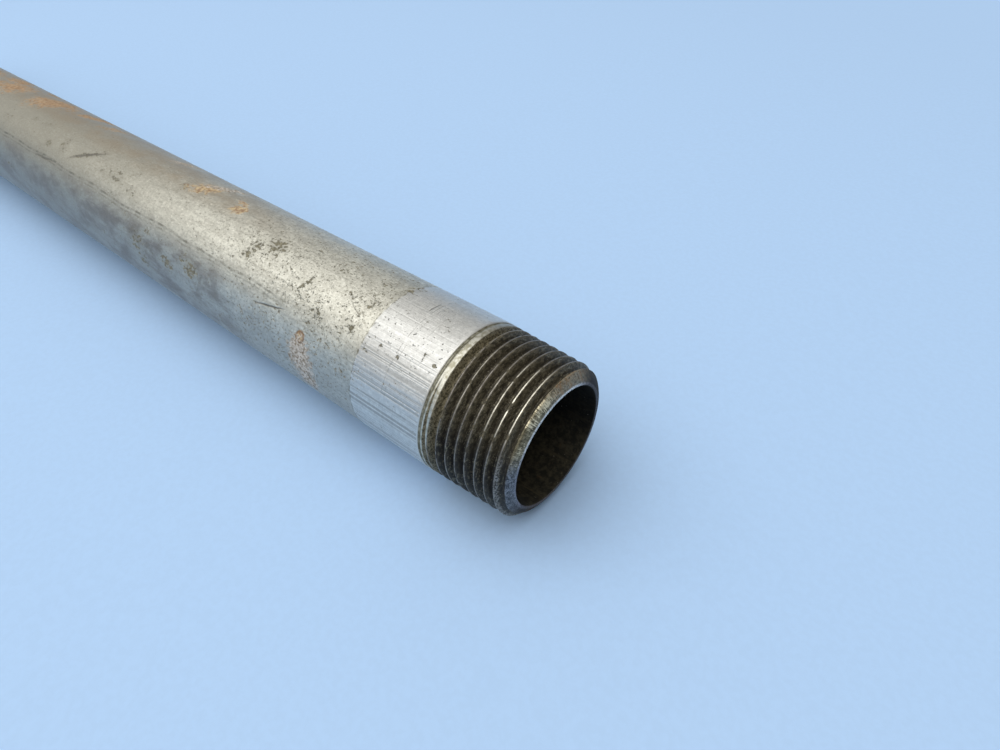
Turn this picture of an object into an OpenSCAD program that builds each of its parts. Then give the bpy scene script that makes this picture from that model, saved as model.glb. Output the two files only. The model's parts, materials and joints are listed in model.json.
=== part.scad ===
// Three-quarter inch steel pipe with a malleable iron elbow screwed on one end.
// The pipe's free end face is centred on the origin and looks along +X.
// The elbow is on the other end, at -X, and its open port looks along -Y.

/* [Pipe] */
// Length of the pipe, end face to end face
pipe_len = 300; // [120:1:900]
// Outside diameter of the barrel
pipe_od = 26.9; // [26.6:0.05:27.3]
// Wall thickness
pipe_wall = 3.2; // [2.3:0.05:4]

/* [Pipe thread] */
// Distance from one turn of the thread to the next
thread_pitch = 1.814; // [1.3:0.001:2.4]
// How much less the diameter over the crests is than the barrel's, at the gauge plane
gauge_drop = 0.46; // [0.3:0.01:0.6]
// Distance from the end face to the gauge plane
gauge_len = 9.5; // [8.6:0.1:10.4]
// Length of the thread, with its run-out
thread_len = 16.8; // [15.5:0.1:22]
// Turns over which the thread fades into the barrel
run_out_turns = 1.6; // [1:0.1:2]
// How far round the pipe the free end's thread is turned from the other end's
free_thread_turn = 235; // [0:1:359]
// How far the end bevel goes below the thread's first root
bevel_below_root = 0.31; // [0.1:0.01:0.5]
// Slope of the end bevel, measured from the pipe's axis
bevel_angle = 43; // [30:1:50]

/* [Elbow] */
// Distance from the crossing of the two axes to each mouth
elbow_reach = 33; // [30:0.5:60]
// Depth of each socket, from its mouth to the start of the bend
socket_depth = 15; // [14:0.1:16]
// Inside diameter of the bend
waterway_d = 22.8; // [20.6:0.1:23.2]
// Thickness of the casting round the bend
bend_wall = 4.1; // [2.6:0.05:4.6]
// How far the lip between the bend and the thread stands into the waterway
lip_rise = 0.3; // [0.1:0.05:1]
// Length of the lip
lip_len = 1; // [0.5:0.1:2]
// Thickness of the casting round the thread
socket_wall = 3; // [2.6:0.05:4]
// Length of the cone between the bend and the socket
shoulder_len = 3.5; // [1:0.1:5]
// Width of the band round each mouth
band_width = 7; // [5:0.1:8]
// How far the band stands out from the socket
band_rise = 1.8; // [1:0.1:3]
// Radius of the band's edges
band_round = 1; // [0.5:0.1:1.4]
// Space all round a pipe in the plain recess of each mouth
recess_gap = 1; // [0.8:0.05:1.4]
// Depth of the plain recess in each mouth
recess_depth = 1.6; // [1:0.1:2.5]

/* [Made-up joint] */
// Length of the pipe's thread left outside the elbow
exposed_thread = 3.8; // [3.6:0.1:4.5]
// Radial clearance between the two threads
thread_clearance = 0.12; // [0.1:0.01:0.2]
// Clearance between the bead of joint compound and what it lies against
bead_clearance = 0.12; // [0.1:0.01:0.2]
// How far the bead stands out of the mouth
bead_out = 0.9; // [0.5:0.1:1.5]

/* [Hidden] */
$fn = 96;

flank_angle = 27.5;
thread_depth = 0.6403 * thread_pitch;
taper = 1 / 32;                // change of radius per millimetre of length
turn_sides = 36;
arc_steps = 6;
overlap = 1;                   // how far a cutter runs past the face it opens
shoulder_dip = 0.55;           // how deep the socket's cone starts under the bend's skin
shoulder_share = 0.6;          // share of that cone's length that lies along the bend

pipe_r = pipe_od / 2;
bore_r = pipe_r - pipe_wall;
engaged = thread_len - exposed_thread;
end_face_r = crest_r(0) - thread_depth - bevel_below_root;
waterway_r = waterway_d / 2;
bend_r = waterway_r + bend_wall;
bend_radius = elbow_reach - socket_depth;
recess_r = pipe_r + recess_gap;
socket_r = crest_r(engaged) + thread_clearance + socket_wall;
band_r = socket_r + band_rise;
end_in_elbow = elbow_reach - engaged;
elbow_x = -pipe_len - end_in_elbow;

// The thread's form over one turn, as [share of the pitch, height],
// where 0 is a root and 1 is a crest.
flank_share = thread_depth * tan(flank_angle) / thread_pitch;
half_flat = (1 / 2 - flank_share) / 2;
form = [[half_flat, 0], [1 / 2 - half_flat, 1], [1 / 2 + half_flat, 1], [1 - half_flat, 0]];

// Radius over the crests at a distance in from the pipe's end face.
function crest_r(in) = (pipe_od - gauge_drop) / 2 + (in - gauge_len) * taper;

// Past the thread this is wider than the pipe, whose own cylinder then cuts it to size.
function pipe_thread_r(in, height) =
    let (fade = min(1, (thread_len - in) / (run_out_turns * thread_pitch)),
         cut = crest_r(in) - thread_depth * (1 - height) * fade,
         bevel = end_face_r + max(in, 0) * tan(bevel_angle))
    in < thread_len ? min(bevel, cut) : pipe_r + overlap;

function socket_thread_r(in, height) =
    crest_r(in) + thread_clearance - thread_depth * (1 - height);

function arc(centre, radius, from, to) =
    [for (i = [0 : arc_steps])
        let (a = from + (to - from) * i / arc_steps)
        centre + radius * [cos(a), sin(a)]];

// A right-hand screw along +Z that covers the stretch from low to high with turns to spare.
module screw(low, high, in_socket) {
    rows_per_turn = len(form);
    first_turn = floor(low / thread_pitch) - 2;
    turns = ceil((high - low) / thread_pitch) + 4;
    rows = rows_per_turn * turns;
    last_side = turn_sides - 1;
    function z_at(side, row) =
        let (turn = floor(row / rows_per_turn), share = form[row % rows_per_turn][0])
        thread_pitch * (first_turn + turn + share + side / turn_sides);
    function r_at(z, height) = in_socket ? socket_thread_r(z, height) : pipe_thread_r(z, height);
    function index(side, row) = side * (rows + 1) + row;
    points = [
        for (side = [0 : last_side], row = [0 : rows])
            let (z = z_at(side, row),
                 r = r_at(z, form[row % rows_per_turn][1]),
                 a = 360 * side / turn_sides)
            [r * cos(a), r * sin(a), z],
        [0, 0, z_at(0, 0) - thread_pitch],
        [0, 0, z_at(last_side, rows) + thread_pitch]];
    low_tip = len(points) - 2;
    high_tip = len(points) - 1;
    low_rim = [
        for (side = [0 : last_side]) index(side, 0),
        for (row = [rows_per_turn : -1 : 1]) index(0, row)];
    high_rim = [
        for (side = [0 : last_side]) index(side, rows),
        for (row = [1 : rows_per_turn]) index(last_side, rows - row)];
    faces = [
        for (side = [0 : last_side - 1], row = [0 : rows - 1])
            [index(side, row), index(side, row + 1), index(side + 1, row + 1), index(side + 1, row)],
        for (row = [0 : rows - rows_per_turn - 1])
            [index(last_side, row), index(last_side, row + 1),
             index(0, row + rows_per_turn + 1), index(0, row + rows_per_turn)],
        for (i = [0 : len(low_rim) - 1])
            [low_tip, low_rim[i], low_rim[(i + 1) % len(low_rim)]],
        for (i = [0 : len(high_rim) - 1])
            [high_tip, high_rim[(i + 1) % len(high_rim)], high_rim[i]]];
    polyhedron(points, faces);
}

// Turns what points along +Z towards +X and moves it along the pipe's axis.
module along_x(x) {
    translate([x, 0, 0]) rotate([0, 90, 0]) children();
}

module pipe() {
    color("#b5b0a4")
    difference() {
        intersection() {
            along_x(-pipe_len) cylinder(h = pipe_len, r = pipe_r);
            union() {
                along_x(-pipe_len) screw(0, thread_len, false);
                rotate([free_thread_turn, 0, 180]) along_x(0) screw(0, thread_len, false);
                along_x(thread_len + overlap - pipe_len)
                    cylinder(h = pipe_len - 2 * (thread_len + overlap), r = pipe_r + 2 * overlap);
            }
        }
        along_x(-pipe_len - overlap) cylinder(h = pipe_len + 2 * overlap, r = bore_r);
    }
}

// Places one leg of the elbow towards the pipe and one towards -Y.
module both_legs() {
    along_x(0) children();
    rotate([90, 0, 0]) children();
}

// Where the bend turns tighter than its own radius, its inner side ends in a sharp corner.
module bend(r) {
    translate([bend_radius, -bend_radius, 0])
        rotate([0, 0, 90])
            rotate_extrude(angle = 90)
                intersection() {
                    translate([bend_radius, 0]) circle(r = r);
                    translate([0, -2 * r]) square([bend_radius + 2 * r, 4 * r]);
                }
}

// The shoulder's cone starts inside the bend and comes out through its skin.
module socket_outside() {
    shoulder_start = bend_radius - shoulder_len * shoulder_share;
    band_start = elbow_reach - band_width;
    rounded = band_r - band_round;
    rotate_extrude()
        polygon(concat(
            [[0, shoulder_start],
             [bend_r - shoulder_dip, shoulder_start],
             [socket_r, shoulder_start + shoulder_len],
             [socket_r, band_start]],
            arc([rounded, band_start + band_round], band_round, -90, 0),
            arc([rounded, elbow_reach - band_round], band_round, 0, 90),
            [[0, elbow_reach]]));
}

module socket_inside() {
    thread_start = bend_radius + lip_len;
    translate([0, 0, bend_radius - overlap])
        cylinder(h = socket_depth, r = waterway_r - lip_rise);
    intersection() {
        translate([0, 0, end_in_elbow]) screw(thread_start - end_in_elbow, engaged, true);
        translate([0, 0, thread_start]) cylinder(h = socket_depth, r = band_r);
    }
    translate([0, 0, elbow_reach - recess_depth])
        cylinder(h = recess_depth + overlap, r = recess_r);
}

module elbow() {
    color("#9c9a94")
    translate([elbow_x, 0, 0])
    difference() {
        union() {
            bend(bend_r);
            both_legs() socket_outside();
        }
        bend(waterway_r);
        both_legs() socket_inside();
    }
}

// The bead fills the recess round the pipe and bulges out of the mouth.
module joint_compound() {
    inner_r = pipe_r + bead_clearance;
    width = recess_r - bead_clearance - inner_r;
    start = elbow_reach - recess_depth + bead_clearance;
    color("#d9d6c8")
    along_x(elbow_x)
        rotate_extrude()
            polygon(concat(
                [[inner_r, start], [inner_r + width, start]],
                [for (i = [0 : arc_steps])
                    let (a = 90 * i / arc_steps)
                    [inner_r + width * cos(a), elbow_reach + bead_out * sin(a)]]));
}

pipe();
elbow();
joint_compound();
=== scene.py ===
# %% [markdown]
# # A threaded steel pipe with an elbow on its far end
#
# This lesson dresses a short plumbing assembly: a worn length of steel pipe whose near end
# carries a bare taper thread, and a malleable iron elbow screwed on the other end over a bead
# of dried joint compound. The engineering model already fixes where everything is and how big
# it is. What is made here is only what the eye meets: turned, worn and stained surfaces.

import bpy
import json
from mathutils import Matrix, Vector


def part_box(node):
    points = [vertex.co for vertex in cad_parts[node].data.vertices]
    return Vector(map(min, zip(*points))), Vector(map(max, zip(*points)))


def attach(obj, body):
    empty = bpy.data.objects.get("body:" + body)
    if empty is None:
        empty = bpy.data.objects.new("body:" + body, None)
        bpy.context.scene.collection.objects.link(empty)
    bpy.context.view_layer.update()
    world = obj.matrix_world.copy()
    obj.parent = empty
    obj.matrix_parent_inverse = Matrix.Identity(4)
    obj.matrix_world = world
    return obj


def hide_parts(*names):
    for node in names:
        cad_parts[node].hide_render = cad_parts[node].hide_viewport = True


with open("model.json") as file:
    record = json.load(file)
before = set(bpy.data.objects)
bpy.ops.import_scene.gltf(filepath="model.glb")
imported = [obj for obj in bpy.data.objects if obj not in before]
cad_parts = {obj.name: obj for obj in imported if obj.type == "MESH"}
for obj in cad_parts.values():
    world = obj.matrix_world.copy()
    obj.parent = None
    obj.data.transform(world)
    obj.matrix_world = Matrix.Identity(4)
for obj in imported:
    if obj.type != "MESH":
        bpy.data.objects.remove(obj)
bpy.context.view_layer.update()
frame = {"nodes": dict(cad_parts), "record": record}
print("pieces in the model:", sorted(frame["nodes"]))

# %% [markdown]
# ## Sizes
#
# Every size that the engineering model states is read from it, so that the dressed pieces can't
# drift away from it. Lengths are handled in millimetres here, as on a workshop drawing, and
# turned into Blender's metres when a mesh is made. The pitch of the thread comes from the
# coupling of the two joints: the elbow moves one pitch for each turn.

# %% Sizes that the model states
import json
import math

import bmesh
import bpy
import numpy as np
from mathutils import Vector
from mathutils import noise

METRES = 0.001
mounts = {mount["name"]: mount for mount in frame["record"]["mounts"]}
coupling = frame["record"]["behaviour"]["couplings"][0]

pipe_len = mounts["pipe_bore"]["dims"]["length_mm"]
pipe_r = mounts["barrel"]["dims"]["r_mm"]
bore_r = mounts["pipe_bore"]["dims"]["r_mm"]
thread_len = (pipe_len - mounts["barrel"]["dims"]["length_mm"]) / 2
thread_pitch = coupling["ratio"] * 2 * math.pi / METRES
recess_r = mounts["outlet_port"]["dims"]["r_mm"]
recess_depth = mounts["outlet_port"]["dims"]["length_mm"]

elbow_low, elbow_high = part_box("elbow")
mouth_x = elbow_high.x / METRES
elbow_x = mounts["outlet_port"]["pos_m"][0] / METRES
elbow_reach = -elbow_low.y / METRES
band_r = elbow_high.z / METRES
engaged = pipe_len + mouth_x
print(f"pipe {pipe_len:.0f} long and {2 * pipe_r:.1f} across")
print(f"thread {thread_len:.1f} long, with a pitch of {thread_pitch:.3f}")
print(f"elbow reaches {elbow_reach:.1f} from its corner and takes {engaged:.1f} of the thread")

# %% [markdown]
# ## Camera
#
# The camera stands close over the threaded end and looks down along the pipe, so the near
# thread is large and the barrel runs away to a corner. It is placed by the direction it looks
# from, the point that it aims at and its distance, all in pipe radii. A wide lens at such a
# short distance gives the strong taper that a pipe shows in a hand-held close-up.

# %% Camera
VIEW_AZIMUTH = math.radians(39.36)
VIEW_ELEVATION = math.radians(42.38)
AIM_IN_RADII = (-1.266, 0.508, 0.0)
DISTANCE_IN_RADII = 8.366
LENS_MM = 23.92
SENSOR_MM = 36.0
NEAREST = 0.005


def placed_object(name, data):
    """A new object of the scene that shows a mesh, a lamp or a camera."""
    made = bpy.data.objects.new(name, data)
    bpy.context.scene.collection.objects.link(made)
    return made


toward_camera = Vector((
    math.sin(VIEW_AZIMUTH) * math.cos(VIEW_ELEVATION),
    -math.cos(VIEW_AZIMUTH) * math.cos(VIEW_ELEVATION),
    math.sin(VIEW_ELEVATION)))
camera_data = bpy.data.cameras.new("Camera")
camera_data.lens = LENS_MM
camera_data.sensor_width = SENSOR_MM
camera_data.clip_start = NEAREST
camera = placed_object("Camera", camera_data)
aim = Vector(AIM_IN_RADII) * pipe_r * METRES
camera.location = aim + toward_camera * (DISTANCE_IN_RADII * pipe_r * METRES)
camera.rotation_euler = toward_camera.to_track_quat("Z", "Y").to_euler()
bpy.context.scene.camera = camera
print("camera stands at", [round(value, 4) for value in camera.location])

# %% [markdown]
# ## Grids that close into tubes
#
# Pipes and fittings are round, so each surface is a grid: rows step along the axis and columns
# step round it. A plain grid closes on itself sideways. A thread needs one more idea. If every
# column starts a little later than the one before, the rows follow the helix, every crest and
# root gets a row of its own, and the edge of the crest stays crisp with few faces. After one
# turn such a grid meets itself one pitch further on.

# %% Grids and welding
COLUMNS = 216
TURN = 2 * math.pi
WELD = 0.0005
FLAT_AREA = 1e-9
HAIR = 1e-6


def columns_round(count):
    """Angles of evenly spaced columns round an axis."""
    return np.arange(count) * TURN / count


def rings(distances, columns=COLUMNS):
    """Two grids, of the distance along an axis and of the angle round it."""
    return np.meshgrid(distances, columns_round(columns), indexing="ij")


def grid_faces(rows, columns, rows_per_turn=0):
    """Quads of a grid that closes sideways, rows_per_turn rows later where it is a helix."""
    faces = []
    for row in range(rows - 1):
        for column in range(columns):
            shift = rows_per_turn if column == columns - 1 else 0
            following = (column + 1) % columns
            if row + 1 + shift < rows:
                faces.append((
                    row * columns + column,
                    (row + 1) * columns + column,
                    (row + 1 + shift) * columns + following,
                    (row + shift) * columns + following))
    return faces


class Patch:
    """One grid of points in millimetres, with the number of the material that covers it."""

    def __init__(self, points, material=0, rows_per_turn=0):
        self.points = points
        self.material = material
        self.rows_per_turn = rows_per_turn


def welded_piece(name, patches, materials):
    """Joins patches that share their edges into one closed mesh object, in metres."""
    vertices = []
    faces = []
    face_materials = []
    for patch in patches:
        first = len(vertices)
        rows, columns = patch.points.shape[:2]
        vertices.extend(map(tuple, patch.points.reshape(-1, 3)))
        quads = grid_faces(rows, columns, patch.rows_per_turn)
        faces.extend(tuple(first + corner for corner in quad) for quad in quads)
        face_materials.extend([patch.material] * len(quads))
    mesh = bpy.data.meshes.new(name)
    mesh.from_pydata(vertices, [], faces)
    mesh.polygons.foreach_set("material_index", face_materials)
    work = bmesh.new()
    work.from_mesh(mesh)
    bmesh.ops.remove_doubles(work, verts=work.verts, dist=WELD)
    flat = sum(face.calc_area() < FLAT_AREA for face in work.faces)
    bmesh.ops.dissolve_degenerate(work, edges=work.edges, dist=WELD / 2)
    bmesh.ops.recalc_face_normals(work, faces=work.faces)
    bmesh.ops.scale(work, vec=(METRES, METRES, METRES), verts=work.verts)
    open_edges = sum(len(edge.link_faces) != 2 for edge in work.edges)
    work.to_mesh(mesh)
    work.free()
    mesh.shade_smooth()
    for material in materials:
        mesh.materials.append(material)
    print(f"{name}: {len(mesh.polygons)} faces, {open_edges} open edges, {flat} flat faces")
    return placed_object(name, mesh)


def eased_clip(value, ease):
    """Holds a value between 0 and 1, with a rounded corner at each end."""
    low = np.clip(value + ease, 0, 2 * ease) ** 2 / (4 * ease)
    high = 1 - np.clip(1 + ease - value, 0, 2 * ease) ** 2 / (4 * ease)
    return np.where(value < ease, low, np.where(value > 1 - ease, high, value))


def smooth_step(value, start, end):
    """Eases from 0 at start to 1 at end."""
    share = np.clip((value - start) / (end - start), 0, 1)
    return share * share * (3 - 2 * share)


def lumps(points, size, seed):
    """Soft noise from -1 to 1 at each point, with features about size millimetres across."""
    offset = Vector((seed * 17.3, seed * 5.9, seed * 11.1))
    flat_points = points.reshape(-1, 3) / size
    values = [noise.noise(Vector(point) + offset) for point in flat_points]
    return np.array(values).reshape(points.shape[:-1])


def thinned(points, share):
    """Draws points in towards the pipe's axis by a share of their radius."""
    kept = 1 - share
    return points * np.stack([np.ones_like(kept), kept, kept], axis=-1)


# %% [markdown]
# ## The thread
#
# The thread is the standard 55 degree pipe thread on a cone of 1 in 16. Its form is worked out
# from the pitch: straight flanks with rounded crests and roots. The last groove runs out within
# half a turn, where the die's lead-in teeth stopped. Behind it stands a band of plain turned
# cone, and a shallow worn gutter parts that from the shoulder of the barrel.

# %% Thread form
TAPER = 1 / 32
GAUGE_LEN = 9.5
CREST_GAUGE_R = 13.22
FLANK_ANGLE = math.radians(27.5)
DEPTH_IN_PITCHES = 0.6403
THREAD_CLEARANCE = 0.12
EDGE_EASE = 0.13
ROWS_PER_TURN = 14
HIDDEN_ROWS_PER_TURN = 8

thread_depth = DEPTH_IN_PITCHES * thread_pitch
flank_share = thread_depth * math.tan(FLANK_ANGLE) / thread_pitch
flat_half = (0.5 - flank_share) / 2


def crest_r(inward):
    """Radius of the cone over the crests, at a distance in from the pipe's end face."""
    return CREST_GAUGE_R + (inward - GAUGE_LEN) * TAPER


def form_height(share):
    """0 in a root and 1 on a crest, where share is the place within one pitch."""
    from_root = np.abs((share + 0.5) % 1.0 - 0.5)
    return eased_clip((from_root - flat_half) / flank_share, EDGE_EASE)


def helix_grid(low, high, radius_at, place, columns=COLUMNS, rows_per_turn=ROWS_PER_TURN):
    """A grid whose rows follow the thread between two distances in from the end face."""
    angles = columns_round(columns)
    first_turn = math.floor(low / thread_pitch) - 1
    turns = math.ceil((high - low) / thread_pitch) + 3
    share = first_turn + np.arange(turns * rows_per_turn + 1) / rows_per_turn
    inward = np.clip(thread_pitch * (share[:, None] + angles[None, :] / TURN), low, high)
    angles = np.broadcast_to(angles[None, :], inward.shape)
    return place(inward, angles, radius_at(inward, angles))


def thread_height(inward, angles):
    """0 in a root and 1 on a crest, at a distance in from the end and an angle round it."""
    return form_height(inward / thread_pitch - angles / TURN)


print(f"thread depth {thread_depth:.3f}, crest flat {(1 - 2 * flank_share) / 2 * thread_pitch:.2f}")

# %% [markdown]
# ## The pipe
#
# The pipe is one closed skin: a bore, two end faces with worn corners, two bevels, two threads
# and the barrel between them. The thread's crests are nicked here and there, as they are on
# any pipe that has been lying about. The barrel of a welded pipe is never quite round, which
# shows as a slight wander of its highlight, and inside the bore runs the bead of its weld.
# The skin of the end and the skin of the bore meet a tenth of a millimetre inside the mouth,
# so that the metal of the rim turns the corner before the dark scale begins.

# %% Pipe sizes
BEVEL_SLOPE = math.tan(math.radians(43))
BEVEL_BELOW_ROOT = 0.31
RUN_OUT_END = 15.8
RUN_OUT_LEN = 0.95
FREE_THREAD_TURN = math.radians(235)
GUTTER_DEPTH = 0.24
GUTTER_START = 15.85
GUTTER_EASE = 0.55
SHOULDER = 16.62
NICK_DEPTH = 0.06
CREST_WEAR = 0.008
LIP_IN = 0.10
LIP_OUT = 0.03
RIM_FLAT = 0.12
RIM_ROUND = 0.95
RIM_WORN = 0.15
MACHINED_END = 31.7
CLOSE_ROWS_END = 90.0
CLOSE_STEP = 0.8
WIDE_STEP = 3.2
BORE_STEP = 6.0
WELD_ANGLE = math.radians(135)
WELD_BEAD_HEIGHT = 0.30
WELD_BEAD_WIDTH = 0.9
STEEL, THREAD, BORE = 0, 1, 2

end_face_r = crest_r(0) - thread_depth - BEVEL_BELOW_ROOT


def near_place(inward, angles, radius):
    """Points of the free end, whose thread starts FREE_THREAD_TURN round from the far one."""
    turned = angles + FREE_THREAD_TURN
    return np.stack([-inward, -radius * np.sin(turned), -radius * np.cos(turned)], axis=-1)


def far_place(inward, angles, radius):
    """Points of the end that is screwed into the elbow."""
    across, up = radius * np.sin(angles), -radius * np.cos(angles)
    return np.stack([inward - pipe_len, across, up], axis=-1)


def pipe_thread_r(inward, angles):
    """Radius of the pipe's thread, with its bevel, its run-out and the step at the barrel."""
    fade = np.clip((RUN_OUT_END - inward) / RUN_OUT_LEN, 0, 1)
    groove = np.clip(thread_depth * (fade - thread_height(inward, angles)), 0, None)
    bevel = end_face_r + inward * BEVEL_SLOPE
    gutter = GUTTER_DEPTH * smooth_step(inward, GUTTER_START, GUTTER_START + GUTTER_EASE)
    gutter = gutter * (1 - smooth_step(inward, SHOULDER - 0.12, SHOULDER + 0.04))
    cut = np.minimum(crest_r(inward) - groove - gutter, bevel)
    return np.where(inward >= thread_len - HAIR, pipe_r, cut)


def nicked(points, inward_from_end, seed):
    """Knocks small dents into whatever stands highest, and leaves the roots alone."""
    radius = np.hypot(points[..., 1], points[..., 2])
    stands = smooth_step(radius - crest_r(inward_from_end), -0.25, -0.02)
    stands = stands * smooth_step(inward_from_end, thread_len, thread_len - 1.5)
    dents = smooth_step(lumps(points, 1.1, seed), 0.34, 0.6) * NICK_DEPTH
    worn = (lumps(points, 0.5, seed + 1) + 1) * CREST_WEAR
    return thinned(points, stands * (dents + worn) / radius)


def rim_rows(place):
    """Rows from the bore's lip over the end, whose outer corner is worn round into the bevel."""
    profile = [(LIP_IN, bore_r + LIP_OUT)]
    face_edge = bore_r + RIM_FLAT
    for share in np.linspace(0, 1, 8):
        inward = share ** 2 * RIM_ROUND
        radius = (1 - share) ** 2 * face_edge + 2 * share * (1 - share) * (end_face_r - RIM_WORN)
        profile.append((inward, radius + share ** 2 * (end_face_r + RIM_ROUND * BEVEL_SLOPE)))
    depth, radius = np.array(profile).T
    inward, angles = rings(depth)
    groove = thread_depth * (1 - thread_height(inward, angles))
    return place(inward, angles, np.minimum(radius[:, None], crest_r(inward) - groove))


# %% Pipe mesh
def barrel_rows(start, end):
    """Rows of the barrel: close together near the free end, where it is seen from close by."""
    close_rows = np.arange(start, CLOSE_ROWS_END, CLOSE_STEP)
    wide_rows = np.arange(CLOSE_ROWS_END, end - 1.0, WIDE_STEP)
    inward, angles = rings(np.concatenate([close_rows, wide_rows, [end]]))
    points = near_place(inward, angles, np.full(inward.shape, pipe_r))
    wander = points * np.array([0.12, 1, 1])
    low = (lumps(wander, 9.0, 3) + 1) * 0.018 + (lumps(points, 2.6, 4) + 1) * 0.010
    ends = smooth_step(inward, start, start + 1.5) * (1 - smooth_step(inward, end - 1.5, end))
    skin = smooth_step(inward, MACHINED_END - 0.15, MACHINED_END + 0.15)
    return thinned(points, low * ends * (0.35 + 0.65 * skin) / pipe_r)


def bore_rows():
    """Rows of the bore with the bead of the pipe's weld along it."""
    near_rows = np.array([LIP_IN, 0.3, 0.9, 2.0])
    middle_rows = np.arange(5.0, pipe_len - 5.0, BORE_STEP)
    inward, angles = rings(np.concatenate([near_rows, middle_rows, pipe_len - near_rows[::-1]]))
    from_end = np.minimum(inward, pipe_len - inward)
    points = near_place(inward, angles, bore_r + LIP_OUT * (from_end < LIP_IN + 0.01))
    around = np.arctan2(-points[..., 1], points[..., 2])
    bead = np.exp(-((around - WELD_ANGLE) * bore_r / WELD_BEAD_WIDTH) ** 2) * WELD_BEAD_HEIGHT
    scale = 0.03 * (lumps(points, 4.0, 8) + 1)
    return thinned(points, smooth_step(from_end, 0.9, 3.0) * (bead + scale) / bore_r)


def pipe_patches():
    """The grids of the whole pipe, from its free end to its far one and back through the bore."""
    span = (RIM_ROUND, thread_len, pipe_thread_r)
    near_thread = helix_grid(*span, near_place)
    near_thread = nicked(near_thread, -near_thread[..., 0], 5)
    far_thread = helix_grid(*span, far_place, rows_per_turn=HIDDEN_ROWS_PER_TURN)
    return [
        Patch(rim_rows(near_place), THREAD),
        Patch(near_thread, THREAD, ROWS_PER_TURN),
        Patch(barrel_rows(thread_len, pipe_len - thread_len), STEEL),
        Patch(far_thread, THREAD, HIDDEN_ROWS_PER_TURN),
        Patch(rim_rows(far_place), THREAD),
        Patch(bore_rows(), BORE)]


print(f"barrel rows stand {CLOSE_STEP} apart up to {CLOSE_ROWS_END:.0f} from the free end")

# %% [markdown]
# ## Shaders as sums
#
# A worn surface is a stack of masks, and masks are arithmetic. The Signal class below lets an
# output socket stand in a Python expression, so 1 - mask or dirt * wear adds the Math nodes by
# itself. Colours go through Mix nodes and vectors through Vector Math. Everything else comes
# from one method, node, which takes the node's type, its settings and what its sockets get.

# %% Signal and Shader
class Signal:
    """One output socket that can be used in sums as if it were a number."""

    def __init__(self, shader, socket):
        self.shader = shader
        self.socket = socket

    def _math(self, operation, first, second):
        return self.shader.node("ShaderNodeMath", {"operation": operation}, {0: first, 1: second})

    def __add__(self, other):
        return self._math("ADD", self, other)

    def __sub__(self, other):
        return self._math("SUBTRACT", self, other)

    def __mul__(self, other):
        return self._math("MULTIPLY", self, other)

    def __truediv__(self, other):
        return self._math("DIVIDE", self, other)

    def __rsub__(self, other):
        return self._math("SUBTRACT", other, self)

    __radd__ = __add__
    __rmul__ = __mul__

    def above(self, other):
        """The larger of two signals."""
        return self._math("MAXIMUM", self, other)

    def rise(self, low, high):
        """0 below low and 1 above high, eased between them; low above high turns it round."""
        ease = {"interpolation_type": "SMOOTHSTEP"}
        values = {"Value": self, "From Min": low, "From Max": high}
        return self.shader.node("ShaderNodeMapRange", ease, values)

    def window(self, opens, opened, closes, closed):
        """1 between opened and closes, eased down to 0 at opens and at closed."""
        return self.rise(opens, opened) * self.rise(closed, closes)

    def at_least(self, low):
        """Lifts a mask from 0 to 1 so that it runs from low to 1."""
        return low + (1 - low) * self


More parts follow.
